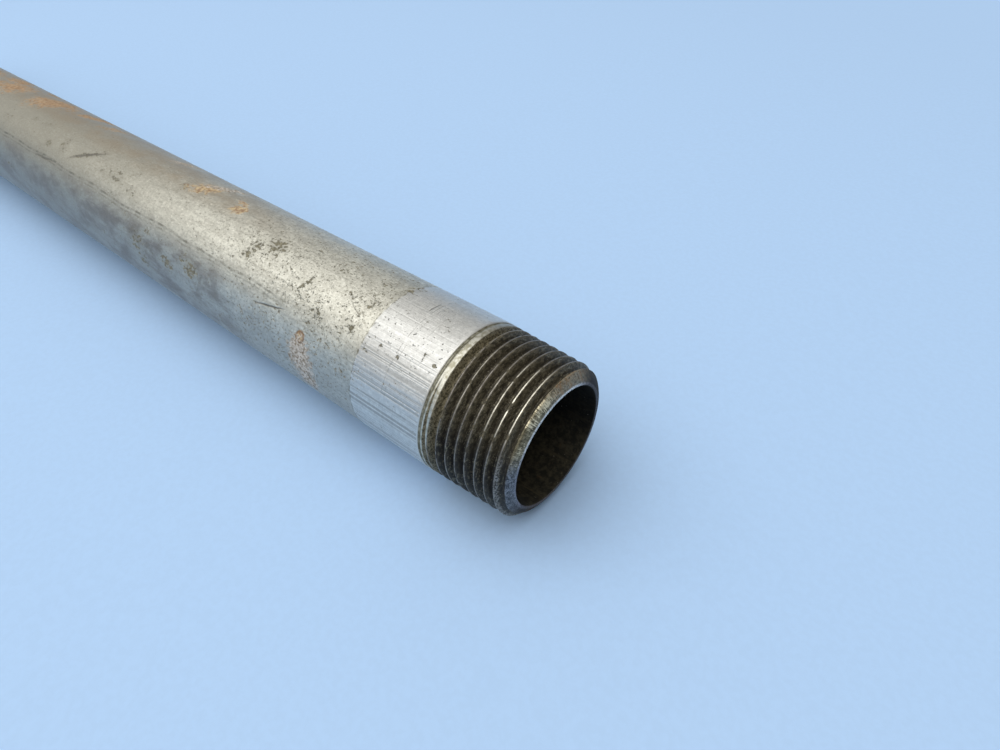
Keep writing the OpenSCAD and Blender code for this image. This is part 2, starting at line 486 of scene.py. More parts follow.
class Shader:
    """One material and the means to write its nodes as expressions."""

    def __init__(self, name):
        self.material = bpy.data.materials.new(name)
        self.material.use_nodes = True
        self.tree = self.material.node_tree
        self.surface = self.tree.nodes["Principled BSDF"]
        coordinates = self.tree.nodes.new("ShaderNodeTexCoord").outputs["Object"]
        self.place = self.vector("MULTIPLY", Signal(self, coordinates), (1000.0, 1000.0, 1000.0))

    def socket_of(self, node, key):
        """A node's input, by its number, identifier or name."""
        if isinstance(key, int):
            return node.inputs[key]
        return next(socket for socket in node.inputs if key in (socket.identifier, socket.name))

    def give(self, socket, value):
        """Links a signal to an input, or sets the input to a constant."""
        if isinstance(value, Signal):
            self.tree.links.new(value.socket, socket)
        else:
            socket.default_value = value

    def node(self, kind, settings, inputs, output=0):
        """Adds a node: first its settings, then the values or links of its sockets."""
        node = self.tree.nodes.new(kind)
        for name, value in settings.items():
            setattr(node, name, value)
        for key, value in inputs.items():
            self.give(self.socket_of(node, key), value)
        return Signal(self, node.outputs[output])

    def vector(self, operation, first, second):
        """Vector maths on two vectors, which keeps colours in colour."""
        return self.node("ShaderNodeVectorMath", {"operation": operation}, {0: first, 1: second})

    def parts(self, vector):
        """The X, Y and Z of a vector as three signals."""
        first = self.node("ShaderNodeSeparateXYZ", {}, {0: vector})
        return [Signal(self, output) for output in first.socket.node.outputs]

    def noise(self, scale, detail=3.0, roughness=0.55, place=None, stretch=None):
        """Cloudy noise about 0.5, with scale features to the millimetre."""
        place = place or self.place
        if stretch:
            place = self.vector("MULTIPLY", place, stretch)
        values = {"Vector": place, "Scale": scale, "Detail": detail, "Roughness": roughness}
        return self.node("ShaderNodeTexNoise", {}, values)

    def blend(self, factor, under, over):
        """Colour under where factor is 0 and colour over where it is 1."""
        values = {"Factor_Float": factor}
        for key, colour in (("A_Color", under), ("B_Color", over)):
            values[key] = colour if isinstance(colour, Signal) else (*colour, 1.0)
        return self.node("ShaderNodeMix", {"data_type": "RGBA"}, values, output=2)

    def coats(self, colour, *layers):
        """Lays coats over a colour, each given as (mask, colour of the coat)."""
        for mask, over in layers:
            colour = self.blend(mask, colour, over)
        return colour

    def joined(self, x, y, z):
        """A vector made from three signals or numbers."""
        return self.node("ShaderNodeCombineXYZ", {}, {0: x, 1: y, 2: z})

    def length(self, vector):
        """How long a vector is."""
        return self.node("ShaderNodeVectorMath", {"operation": "LENGTH"}, {0: vector}, output=1)

    def finish(self, **sockets):
        """Sets the surface's own sockets, such as Base_Color, and returns the material."""
        for key, value in sockets.items():
            self.give(self.surface.inputs[key.replace("_", " ")], value)
        print(f"{self.material.name}: {len(self.tree.nodes)} nodes")
        return self.material

    def dress(self, colour, roughness, metal, relief, relief_mm, **constants):
        """Finishes a piece's surface, whose relief stands relief_mm high where it is 1."""
        values = {"Strength": 1.0, "Distance": relief_mm * METRES, "Height": relief}
        normal = self.node("ShaderNodeBump", {}, values)
        return self.finish(
            Base_Color=colour, Roughness=roughness, Metallic=metal, Normal=normal, **constants)


# %% [markdown]
# ## Places on the pipe
#
# Stains on the real pipe have places, so the shader needs the pipe's own map. Distance in from
# the free end is one direction and arc length round the barrel is the other, counted from the
# top towards the camera's side. With both in millimetres a stain can be laid out like a patch
# on a drawing, and a little noise added to the map gives every patch a ragged edge.

# %% Pipe map
class PipeShader(Shader):
    """A shader that knows where it is on the pipe."""

    def __init__(self, name):
        super().__init__(name)
        x, y, z = self.parts(self.place)
        self.inward = 0 - x
        angle = self.node("ShaderNodeMath", {"operation": "ARCTAN2"}, {0: 0 - y, 1: z})
        self.around = angle * pipe_r
        self.radius = self.length(self.joined(0.0, y, z))
        self.map = self.joined(self.inward, self.around, 0.0)

    def degrees(self):
        """The angle round the pipe, from the top towards the camera's side."""
        return self.around / math.radians(pipe_r)

    def mapped(self, stretch, detail, roughness=0.5):
        """Noise on the map, stretched along the pipe by one number and round it by the other."""
        return self.noise(1.0, detail, roughness, place=self.map, stretch=(*stretch, 1.0))

    def ragged(self, scale, amount):
        """The map, pushed about by noise so that the edges of stains break up."""
        values = {"Vector": self.place, "Scale": scale, "Detail": 3.0}
        push = self.node("ShaderNodeTexNoise", {}, values, output=1)
        push = self.vector("SUBTRACT", push, (0.5, 0.5, 0.5))
        return self.vector("ADD", self.map, self.vector("MULTIPLY", push, (amount,) * 3))

    def stains(self, ragged_map, spots, soft):
        """One mask for a list of (inward, degrees, length, width, lean, strength) ovals."""
        total = None
        for inward, degrees, length, width, lean, strength in spots:
            centre = (inward, math.radians(degrees) * pipe_r, 0.0)
            offset = self.vector("SUBTRACT", ragged_map, centre)
            values = {"Vector": offset, "Angle": math.radians(lean)}
            turned = self.node("ShaderNodeVectorRotate", {"rotation_type": "Z_AXIS"}, values)
            reach = self.length(self.vector("MULTIPLY", turned, (2 / length, 2 / width, 0.0)))
            spot = reach.rise(1.0 + soft, 1.0 - soft) * strength
            total = spot if total is None else total.above(spot)
        return total

    def line(self, place, at, half_width):
        """A thin line where a signal passes a value."""
        gap = place - at
        return (gap * gap).rise(half_width ** 2, 0.0)


print(f"pipe map: {pipe_len:.0f} mm in from the end and {TURN * pipe_r:.1f} mm round from the top")

# %% [markdown]
# ## Weathered steel
#
# The barrel is mill-finished steel that has gone dull: a warm grey with creamy bloom, drawn
# along its length by the rolls, freckled with dark pits and marked with rust. The last stretch
# before the thread was dressed bright on a machine and keeps fine scores along the pipe. The
# masks are worked out first. Then the coats are laid from the broadest to the finest, and
# roughness and bump use the same masks, so that a pit is dark, dull and deep all at once.

# %% Barrel steel
RUST_SPOTS = [
    (44.7, 64, 1.9, 2.0, 0, 1.0),
    (45.4, 71, 1.2, 1.6, 20, 0.5),
    (46.8, 84, 1.2, 3.4, 0, 0.5),
    (76.3, 0, 3.2, 2.4, -20, 1.0),
    (77.8, -10, 3.0, 1.6, 10, 0.7),
    (88.5, -5, 7.0, 4.0, -30, 0.8),
    (93.0, 4, 2.5, 1.6, 0, 0.4),
    (104.0, -27, 6.0, 2.5, -30, 0.5),
    (134.0, -22, 9.0, 4.0, -25, 0.5),
    (145.0, -26, 10.0, 3.6, -30, 0.8),
    (154.0, -20, 6.0, 5.0, 0, 0.5),
    (161.0, -14, 13.0, 7.0, -30, 0.95),
    (170.0, -32, 10.0, 3.0, 0, 0.5),
    (180.0, -6, 13.0, 7.0, -20, 0.85),
    (186.0, -24, 9.0, 5.0, 0, 0.8),
    (198.0, -15, 12.0, 5.0, 0, 0.6),
    (231.0, -30, 16.0, 7.0, 10, 0.7),
    (262.0, 20, 11.0, 6.0, 20, 0.6),
    (120.0, -100, 30.0, 9.0, 8, 0.6),
    (60.0, -125, 14.0, 6.0, -12, 0.7),
    (210.0, 140, 24.0, 7.0, 5, 0.6),
]
RUST_RING = [(44.7, 64, 1.8, 1.9, 0, 1.0)]
PALE_SPOTS = [
    (44.6, 80, 5.4, 6.6, 8, 1.0),
    (43.6, 96, 4.8, 5.6, 0, 0.9),
    (86.5, -17, 9.0, 2.2, -35, 0.6),
    (105.0, -24, 6.0, 1.6, -30, 0.5),
]
DARK_SPOTS = [
    (60.0, 13, 4.2, 4.0, 40, 0.75),
    (63.8, 25, 2.6, 4.2, 0, 0.6),
    (64.5, 31, 3.0, 1.2, 0, 0.85),
    (35.0, 39, 1.6, 1.2, 20, 0.9),
    (42.5, 42, 2.6, 1.4, 10, 0.5),
    (34.3, 17.5, 1.6, 1.4, 0, 0.55),
    (36.5, 44.5, 1.3, 1.2, 0, 0.6),
    (44.0, 5, 2.0, 1.2, 10, 0.5),
    (48.0, 24, 1.6, 1.4, 0, 0.5),
    (49.0, 30, 1.0, 1.2, 0, 0.5),
    (30.5, 47, 1.2, 1.1, 0, 0.75),
    (28.2, 40, 0.8, 0.8, 0, 0.8),
    (24.3, 40, 0.9, 0.8, 0, 0.9),
    (20.1, 32.5, 0.8, 0.7, 0, 0.8),
    (17.8, 32.5, 0.7, 0.7, 0, 0.8),
    (20.0, 29, 0.7, 0.6, 0, 0.6),
    (21.8, 0, 0.9, 0.8, 0, 0.7),
    (21.0, 6.5, 2.4, 1.2, 15, 0.5),
    (31.6, -8, 2.2, 5.5, 10, 0.55),
    (78.0, 65, 6.0, 3.2, 15, 0.8),
    (86.0, 72, 4.0, 2.4, 10, 0.8),
    (93.5, 57, 2.6, 1.2, 0, 0.7),
    (93.0, 4, 2.6, 1.4, 20, 0.7),
    (95.0, 84, 4.0, 3.0, 0, 0.6),
    (102.0, 53, 3.0, 0.9, 0, 0.6),
    (104.5, 34, 7.0, 1.6, 12, 0.6),
    (108.5, 51, 2.4, 1.2, 0, 0.5),
    (107.0, 19, 4.0, 0.8, -35, 0.5),
    (117.0, 30, 2.6, 1.2, 0, 0.6),
    (126.0, 25, 8.0, 1.6, -26, 0.6),
    (97.0, 70, 9.0, 5.0, 10, 0.55),
    (112.0, 28, 8.0, 3.0, 0, 0.5),
    (121.8, 15, 2.2, 2.0, 40, 0.6),
    (136.0, 28, 2.4, 4.5, 0, 0.55),
    (141.8, 33, 3.0, 1.8, 0, 0.75),
    (140.0, 48, 9.0, 0.8, 0, 0.5),
    (148.0, 17, 4.0, 1.2, -10, 0.5),
    (154.5, 18, 2.6, 1.8, 0, 0.55),
    (165.0, 30, 4.0, 2.0, 0, 0.4),
    (160.0, 74, 7.0, 1.0, 15, 0.5),
]
SCRATCHES = [
    (126.0, 25, 10.0, 0.8, -26, 0.8),
    (140.5, 48, 9.0, 0.5, -4, 0.6),
    (53.6, 55.5, 7.0, 0.34, -12, 1.0),
    (36.5, 26, 4.0, 0.16, 25, 0.5),
    (25.6, -5, 0.22, 3.0, 0, 0.7),
]


DEEPEST_RING = (24.9, 0.13)
FAINTER_RINGS = [(24.15, 0.10, 0.7), (22.0, 0.10, 0.5), (20.3, 0.08, 0.4)]
SEAM_AROUND = 10.1


def barrel_steel():
    """The barrel: steel, dressed end, scores, weld seam, painted underside shade, grime, pits and
    rust, in that order.
    """
    steel = PipeShader("Weathered steel")
    inward = steel.inward
    degrees = steel.degrees()
    edge = steel.noise(0.55, 4.0) - 0.5
    machined = (inward + edge * 0.5).rise(MACHINED_END + 0.10, MACHINED_END - 0.10)
    raw = 1 - machined
    far_off = inward.rise(55.0, 150.0)

    clouds = steel.noise(0.11, 4.0, 0.6, stretch=(0.45, 1, 1))
    bloom = steel.noise(0.6, 5.0, 0.65, stretch=(0.6, 1, 1))
    grain = steel.noise(2.4, 4.0, 0.72, stretch=(0.60, 1, 1))
    drawn = steel.noise(1.0, 3.0, 0.6, stretch=(0.05, 2.4, 2.4))
    warm_top = degrees.rise(20.0, -6.0) * inward.rise(50.0, 88.0)
    warm_patches = steel.noise(0.28, 3.0, 0.6, stretch=(0.5, 1, 1)).rise(0.36, 0.60)
    warm_top = warm_top * warm_patches.at_least(0.35)
    skin = steel.coats(
        steel.blend(bloom.rise(0.35, 0.68), (0.53, 0.515, 0.445), (0.67, 0.655, 0.57)),
        (clouds.rise(0.42, 0.66) * 0.25, (0.38, 0.36, 0.30)),
        (far_off * 0.85, (0.33, 0.31, 0.25)),
        (grain.rise(0.52, 0.70) * (0.60 - 0.45 * far_off), (0.82, 0.80, 0.71)),
        (grain.rise(0.47, 0.31) * (0.70 - 0.35 * far_off), (0.24, 0.225, 0.175)),
        (drawn.rise(0.52, 0.72) * 0.30, (0.30, 0.285, 0.24)),
        (warm_top * 0.55, (0.36, 0.275, 0.175)))

    brushed = steel.noise(1.6, 4.0).rise(0.4, 0.7)
    fresh = steel.coats(
        steel.blend(brushed, (0.60, 0.595, 0.565), (0.70, 0.695, 0.66)),
        (grain.rise(0.46, 0.30) * 0.35, (0.34, 0.33, 0.30)))

    tracks = steel.mapped((0.010, 1.9), 1.0)
    strong_tracks = steel.mapped((0.012, 0.9), 0.0).rise(0.40, 0.62)
    scores = steel.line(tracks, 0.5, 0.075) * strong_tracks.at_least(0.30)
    scores = scores.above(steel.line(tracks, 0.58, 0.05) * 0.5)
    fine_scores = steel.mapped((0.05, 7.0), 2.0).rise(0.50, 0.64)
    score_place = degrees.rise(0.0, 14.0) * degrees.rise(26.0, 50.0).at_least(0.50)
    scored = (scores * score_place).above(fine_scores * 0.35) * machined
    rings_cut = steel.line(inward, *DEEPEST_RING)
    for at, half_width, strength in FAINTER_RINGS:
        rings_cut = rings_cut.above(steel.line(inward, at, half_width) * strength)
    rings_cut = rings_cut * machined * steel.noise(0.45, 2.0).rise(0.42, 0.56)
    boundary = steel.line(inward + edge * 0.5, MACHINED_END, 0.22)
    boundary = boundary * steel.noise(1.3, 2.0).rise(0.40, 0.60)

    seam_line = steel.around - SEAM_AROUND - steel.noise(0.09, 2.0, stretch=(1, 0.2, 0.2)) * 1.6
    seam = steel.line(seam_line, 0.0, 0.30).above(steel.line(seam_line, 0.75, 0.22) * 0.6)
    seam_breaks = steel.noise(0.35, 2.0, stretch=(1, 0.3, 0.3)).rise(0.45, 0.62)
    seam = seam * inward.rise(38.0, 56.0) * (0.35 + seam_breaks)

    # Painted shade: the underside of the raw barrel is painted darker, as shade falls there.
    underside_shade = degrees.window(52.0, 84.0, 150.0, 178.0)
    grime = steel.noise(0.22, 5.0, 0.68, stretch=(0.5, 1, 1)) * 0.75 + bloom * 0.25
    grime = grime.rise(0.43, 0.62) * degrees.rise(42.0, 62.0) * inward.rise(50.0, 78.0)

    ragged = steel.ragged(1.1, 1.5)
    crumbs = steel.noise(1.25, 5.0, 0.62, stretch=(0.85, 1.1, 1.1))
    dark = steel.stains(ragged, DARK_SPOTS, soft=0.8)
    smudge = dark * bloom.rise(0.40, 0.60).at_least(0.35)
    pit_crowd = inward.window(29.0, 35.0, 48.0, 95.0)
    pit_crowd = pit_crowd * steel.noise(0.16, 2.0).rise(0.40, 0.60).at_least(0.45)
    pits = (crumbs + 0.25 * dark + 0.062 * pit_crowd).rise(0.650, 0.715)
    specks = steel.noise(2.6, 2.0, 0.5) + 0.035 * inward.rise(17.0, 26.0) + 0.070 * pit_crowd
    pits = pits.above(specks.rise(0.70, 0.75) * 0.75)
    pit_colour = steel.blend(grain.rise(0.4, 0.6), (0.100, 0.088, 0.050), (0.22, 0.195, 0.120))
    scratch = steel.stains(steel.ragged(0.5, 0.5), SCRATCHES, soft=0.5)

    rusty = steel.stains(ragged, RUST_SPOTS, soft=0.9)
    rust = (crumbs * 0.6 + steel.noise(0.5, 3.0, 0.6) * 0.4 + 0.30 * rusty).rise(0.55, 0.74)
    rust = rust * rusty.rise(0.02, 0.3) * raw
    rust_light = steel.blend(inward.rise(95.0, 140.0), (0.57, 0.44, 0.245), (0.46, 0.31, 0.175))
    rust_tone = steel.noise(1.4, 4.0, 0.7).rise(0.38, 0.62)
    rust_colour = steel.blend(rust_tone, (0.25, 0.13, 0.055), rust_light)
    inside_ring = steel.stains(steel.ragged(1.1, 0.5), RUST_RING, soft=0.45)
    rust_ring = inside_ring * (1 - inside_ring) * 4.0
    chalky = steel.stains(ragged, PALE_SPOTS, soft=0.7)
    pale = (crumbs + 0.32 * chalky).rise(0.56, 0.70) * chalky.rise(0.02, 0.3)
    pale_tone = steel.noise(1.9, 4.0, 0.7).rise(0.42, 0.60)
    pale_colour = steel.blend(pale_tone, (0.60, 0.55, 0.49), (0.20, 0.155, 0.105))

    colour = steel.coats(
        steel.blend(machined, skin, fresh),
        (scored * 0.52, (0.21, 0.205, 0.185)),
        (rings_cut * 0.45, (0.28, 0.27, 0.24)),
        (boundary * 0.6, (0.16, 0.15, 0.10)),
        (seam * 0.55 * raw, (0.17, 0.165, 0.13)),
        # painted shade on the underside
        (underside_shade * raw * 0.42, (0.20, 0.185, 0.18)),
        (grime * (0.80 - 0.30 * far_off), (0.155, 0.12, 0.10)),
        (smudge * 0.42, (0.165, 0.145, 0.095)),
        (pits * (0.85 - 0.25 * far_off), pit_colour),
        (scratch * 0.8, (0.10, 0.09, 0.07)),
        (rust * 0.85, rust_colour),
        (rust_ring * 0.8, (0.20, 0.105, 0.042)),
        (pale * 0.9, pale_colour))
    dirty = (pits * 0.6).above(rust * 0.9).above(pale * 0.8)
    roughness = 0.40 + 0.10 * bloom - 0.06 * machined + 0.10 * scored + 0.40 * dirty
    metal = (0.92 + 0.04 * machined) * (1 - dirty)
    relief = (0.60 * grain + 0.22 * bloom * raw + 0.30 * drawn) * raw.at_least(0.25)
    relief = relief - 1.5 * pits - 0.9 * scratch - 0.7 * scored - 0.5 * rings_cut + 0.5 * pale
    return steel.dress(colour, roughness, metal, relief, 0.045)


steel_material = barrel_steel()

# %% [markdown]
# ## The greasy thread
#
# Cutting oil and dirt have dried in the grooves, and only the crests are worn bright. The
# shader finds the crests by measuring how far the surface lies below the cone over the
# crests, and finds the bevel and the end face in the same way, by their own radii. Light
# and shade are painted in too, by the angle round the pipe: a cream highlight on the crests,
# the bevel and the face edge near the free end, glints in the grooves beside them, and
# painted shade on the lower grooves and on the far and lower side of the end.

# %% Thread steel
def thread_steel():
    """The threads and the end faces: grease below, bare metal where things have worn, and painted
    highlight and shade.
    """
    steel = PipeShader("Oily thread steel")
    inward = steel.inward
    degrees = steel.degrees()
    from_far = inward - pipe_len
    at_near = inward.rise(pipe_len / 2 + 1, pipe_len / 2 - 1)
    end_in = inward * at_near + (0 - from_far) * (1 - at_near)
    crest_cone = end_in * TAPER + (CREST_GAUGE_R - GAUGE_LEN * TAPER)
    sunk = crest_cone - steel.radius
    bevel_gap = (end_in * BEVEL_SLOPE + end_face_r) - steel.radius
    on_end = bevel_gap.rise(0.05, 0.02).above(end_in.rise(RIM_ROUND, RIM_ROUND - 0.04))
    on_end = on_end * end_in.rise(1.95, 1.75)
    on_face = end_in.rise(0.09, 0.015)
    near_bottom = degrees.rise(52.0, 78.0)

    fine = steel.noise(3.4, 4.0, 0.7)
    mottled = steel.noise(1.2, 4.0, 0.65)
    patches = steel.noise(0.35, 3.0, 0.6)
    streaks = steel.mapped((5.5, 0.9), 4.0, 0.7)
    smear = 0.30 * mottled + 0.70 * streaks

    film_tone = (0.5 * fine + 0.5 * smear).rise(0.44, 0.56)
    groove_film = steel.blend(film_tone, (0.050, 0.043, 0.025), (0.25, 0.215, 0.135))
    scuffs = (fine * 0.45 + streaks * 0.45 + patches * 0.25).rise(0.600, 0.665)
    # Painted glints: light specks in the grooves, only on the side where light falls.
    groove_glints = steel.noise(5.0, 2.0, 0.5).rise(0.66, 0.72) * degrees.window(-30.0, 0.0, 45.0, 75.0)
    colour = steel.coats(
        steel.blend(smear.rise(0.38, 0.62), (0.032, 0.027, 0.017), (0.125, 0.106, 0.068)),
        (sunk.rise(0.35, 1.0) * 0.55, (0.016, 0.0135, 0.009)),
        # painted shade: the grooves on the lower side are painted near black
        (near_bottom * 0.65, (0.008, 0.008, 0.009)),
        (end_in.rise(13.2, 13.6) * 0.85, groove_film),
        (scuffs * 0.6, (0.24, 0.215, 0.15)),
        (groove_glints * 0.55, (0.36, 0.33, 0.26)))

    # Painted highlight: crests near the free end, where light falls, are painted cream and bared
    # more fully.
    crest_highlight_place = end_in.rise(8.5, 4.5).above(end_in.window(9.8, 11.0, 12.0, 13.0) * 0.25)
    crest_highlight_place = crest_highlight_place * degrees.window(-14.0, 18.0, 34.0, 62.0)
    bright = crest_highlight_place * (0.60 + 0.35 * patches.rise(0.42, 0.56))
    crest = steel.coats(
        steel.blend(fine.rise(0.35, 0.6), (0.112, 0.101, 0.094), (0.275, 0.253, 0.228)),
        (bright, (0.97, 0.92, 0.77)))
    worn = (sunk + (fine - 0.5) * 0.03).rise(0.033, 0.009)
    worn_patches = crest_highlight_place.above(steel.noise(0.8, 2.0, 0.6).rise(0.36, 0.54))
    flattened = near_bottom * end_in.rise(3.6, 2.9)
    flattened = flattened * (sunk + (mottled - 0.5) * 0.8).rise(0.60, 0.35)
    crest_bare = (worn * worn_patches.at_least(0.70)).above(flattened * fine.rise(0.44, 0.54))
    cone_band = end_in.rise(14.7, 14.9) * sunk.rise(0.10, 0.04)
    cone = steel.coats(
        steel.blend(mottled.rise(0.36, 0.60), (0.33, 0.31, 0.23), (0.60, 0.585, 0.51)),
        (degrees.rise(4.0, -24.0) * 0.6, (0.26, 0.225, 0.165)))
    # The gutter is painted darker than the metal on either side: dirt, and painted shade of the
    # hollow.
    gutter = end_in.window(15.95, 16.15, SHOULDER - 0.08, SHOULDER + 0.02)
    gutter_colour = steel.blend(mottled.rise(0.4, 0.65), (0.13, 0.12, 0.08), (0.32, 0.31, 0.24))
    ledge = end_in.rise(SHOULDER - 0.06, SHOULDER + 0.02)

    # Painted highlight: cream scrapes on the bevel are real wear all round, and the corner term
    # makes them much denser where light falls.
    corner = end_in.window(0.10, 0.32, 0.75, 1.25) * degrees.window(-4.0, 15.0, 25.0, 47.0)
    filed = steel.mapped((0.9, 5.5), 3.0, 0.6)
    scrapes_and_highlight = filed * 0.35 + fine * 0.25 + mottled * 0.15 + patches * 0.30 + 0.075 * corner
    scrapes_and_highlight = scrapes_and_highlight.rise(0.545, 0.640)
    top_side = degrees.window(-60.0, -18.0, 0.0, 22.0)
    speckled = (0.65 * fine + 0.35 * mottled).rise(0.42, 0.60)
    bare_mottle = steel.blend(speckled, (0.028, 0.030, 0.038), (0.22, 0.235, 0.27))
    # Painted shade: the far and the lower side of the end are painted dark navy to dark brown, and
    # kept dull and less metal, so that they stay dark.
    shaded = degrees.rise(-22.0, -48.0).above(degrees.rise(104.0, 132.0))
    brown = degrees.rise(112.0, 140.0) * mottled.rise(0.3, 0.6)
    end_shade_colour = steel.blend(brown, (0.026, 0.027, 0.034), (0.060, 0.042, 0.024))
    # Painted highlight: the face edge is painted near white on the side where light falls.
    face_highlight = degrees.window(-45.0, -5.0, 44.0, 76.0) * fine.rise(0.34, 0.54)
    face_edge = steel.coats(
        steel.blend(fine.rise(0.40, 0.58), (0.10, 0.10, 0.12), (0.30, 0.30, 0.34)),
        (face_highlight, (0.97, 0.90, 0.82)))
    film = steel.coats(
        steel.blend(smear.rise(0.40, 0.60), (0.072, 0.062, 0.037), (0.24, 0.212, 0.135)),
        (scrapes_and_highlight * 0.9, (0.86, 0.77, 0.54)),
        (top_side * fine.rise(0.38, 0.58) * 0.55, (0.36, 0.31, 0.24)),
        (top_side * mottled.rise(0.45, 0.60) * 0.60, (0.24, 0.125, 0.050)),
        (near_bottom * 0.9, bare_mottle),
        # painted shade on the far and lower side of the end
        (shaded * 0.9, end_shade_colour),
        (on_face * (0.9 - 0.60 * shaded), face_edge))

    from_mouth = from_far * -1 - engaged
    paste_grain = 0.65 * mottled + 0.35 * fine + 0.10 * from_mouth.rise(1.6, 0.0)
    paste = from_mouth.window(-1.5, -0.5, 0.2, 2.2) * (1 - at_near) * paste_grain.rise(0.47, 0.54)
    colour = steel.coats(
        colour,
        (crest_bare, crest),
        (cone_band * 0.95, cone),
        (gutter, gutter_colour),
        (ledge, (0.58, 0.57, 0.53)),
        (on_end, film),
        (paste * 0.9, (0.58, 0.55, 0.46)))

    bare = crest_bare.above(cone_band).above(ledge).above(scuffs * 0.6).above(gutter * 0.5)
    end_bare = (0.35 + 0.40 * near_bottom + 0.15 * scrapes_and_highlight).above(on_face * 0.8)
    bare = bare.above(on_end * end_bare * (1 - shaded))
    metal = (0.10 + 0.80 * bare) * (1 - paste)
    roughness = 0.42 - 0.10 * bare + 0.10 * fine + 0.35 * paste.above(on_end * shaded)
    relief = 0.7 * fine + 0.35 * mottled + 0.5 * streaks
    return steel.dress(colour, roughness, metal, relief, 0.035, Specular_IOR_Level=0.22)


thread_material = thread_steel()


# %% [markdown]
# ## The bore
#
# Nothing has worn the inside, so it keeps its black mill scale. Its colour is lighter
# towards the bottom and darker towards the top, a few flakes glint, and further in it is
# painted darker, as painted shade.

# %% Bore scale
def bore_scale():
    """The bore: mill scale with marks along it, rust, a grade from darker top to lighter bottom,
    glints and painted shade further in.
    """
    scale = PipeShader("Bore scale")
    flakes = scale.noise(1.1, 4.0, 0.65)
    long_marks = scale.noise(0.8, 3.0, 0.6, stretch=(0.12, 1.6, 1.6))
    rust = scale.noise(0.5, 4.0, 0.7).rise(0.60, 0.72)
    colour = scale.coats(
        scale.blend(flakes.rise(0.38, 0.66), (0.008, 0.0075, 0.005), (0.030, 0.026, 0.016)),
        (long_marks.rise(0.55, 0.72) * 0.6, (0.044, 0.036, 0.020)),
        (rust * 0.5, (0.058, 0.036, 0.017)))
    # The colour is made lighter towards the bottom of the bore and darker towards the top.
    height_grade = 0.42 + 1.1 * scale.parts(scale.place)[2].rise(-2.0, -9.0)
    graded_colour = scale.vector("MULTIPLY", colour, scale.joined(height_grade, height_grade, height_grade))
    glints = scale.noise(3.5, 2.0, 0.5).rise(0.72, 0.76)
    colour = scale.coats(
        graded_colour,
        (glints * 0.6, (0.25, 0.24, 0.20)),
        # painted shade: the bore is painted darker further in
        (scale.inward.rise(3.0, 26.0) * 0.7, (0.003, 0.0027, 0.002)))
    roughness = 0.72 + 0.2 * flakes
    relief = flakes + 0.6 * long_marks
    return scale.dress(colour, roughness, 0.0, relief, 0.12, Specular_IOR_Level=0.2)


bore_material = bore_scale()

# %% Weld and place the pipe
pipe_skins = [steel_material, thread_material, bore_material]
pipe = welded_piece("threaded_pipe", pipe_patches(), pipe_skins)
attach(pipe, "pipe")
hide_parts("pipe")

# %% [markdown]
# ## The elbow
#
# The elbow is a malleable iron casting, so it has what casting gives: soft transitions, a band
# round each mouth, a faint line where the two halves of the mould met and a skin like fine
# sandpaper. It could be joined from cylinders and a bend, but the joins would then be sharp
# rings. Here one tube is swept from mouth to mouth, and its radius is a smooth function of the
# distance along it, so the socket, its shoulder and the bend flow into each other as cast iron
# does. The outer skin and the bore with its two threads are welded at the mouths.

# %% Elbow sizes
ELBOW_COLUMNS = 144
THREAD_ROWS = 10
SOCKET_DEPTH = 15.0
BAND_WIDTH = 7.0
BAND_RISE = 1.8
BAND_CROWN = 0.10
BAND_EASE = (-0.9, 1.1)
NECK_START = 12.0
NECK_END = 17.5
BEND_OUTER_R = 15.5
WATERWAY_R = 11.4
LIP_R = 11.1
LIP_LEN = 1.0
SEAM_HIGH = 0.16
SEAM_WIDE = 0.55
CHAMFER_R = 13.95
MOUTH_ROUND = 1.1
MOUTH_ROUND_END = 1.8
CLOSE_CAST_STEP = 0.45
CAST_STEP = 0.7
WATERWAY_ROWS = 26
CAST, CUT = 0, 1

bend_radius = elbow_reach - SOCKET_DEPTH
socket_r = band_r - BAND_RISE
bend_length = bend_radius * math.pi / 2
sweep_length = 2 * SOCKET_DEPTH + bend_length


def sweep(along, round_angle, radius):
    """Points at a distance along the elbow's centre line, an angle round it and a radius."""
    bent = np.clip((along - SOCKET_DEPTH) / bend_radius, 0, math.pi / 2)
    before = np.clip(SOCKET_DEPTH - along, 0, None)
    after = np.clip(along - SOCKET_DEPTH - bend_length, 0, None)
    outward = radius * np.cos(round_angle) + bend_radius
    x = elbow_x + bend_radius - outward * np.sin(bent) + before
    y = -bend_radius + outward * np.cos(bent) - after
    z = radius * np.sin(round_angle)
    return np.stack([x, y, z], axis=-1)


def skin_r(along):
    """Radius of the casting's outside: band, fillet, socket, shoulder and bend."""
    from_mouth = np.minimum(along, sweep_length - along)
    crown = BAND_CROWN * ((from_mouth - BAND_WIDTH / 2) / (BAND_WIDTH / 2)) ** 2
    band = band_r - SEAM_HIGH - crown
    edge = np.clip((MOUTH_ROUND - from_mouth) / MOUTH_ROUND, 0, 1)
    band = band - MOUTH_ROUND * (1 - np.sqrt(np.clip(1 - edge ** 2, 0, 1)))
    falls = smooth_step(from_mouth, BAND_WIDTH + BAND_EASE[0], BAND_WIDTH + BAND_EASE[1])
    narrows = smooth_step(from_mouth, NECK_START, NECK_END)
    neck = socket_r - (socket_r - BEND_OUTER_R) * narrows
    return band * (1 - falls) + neck * falls


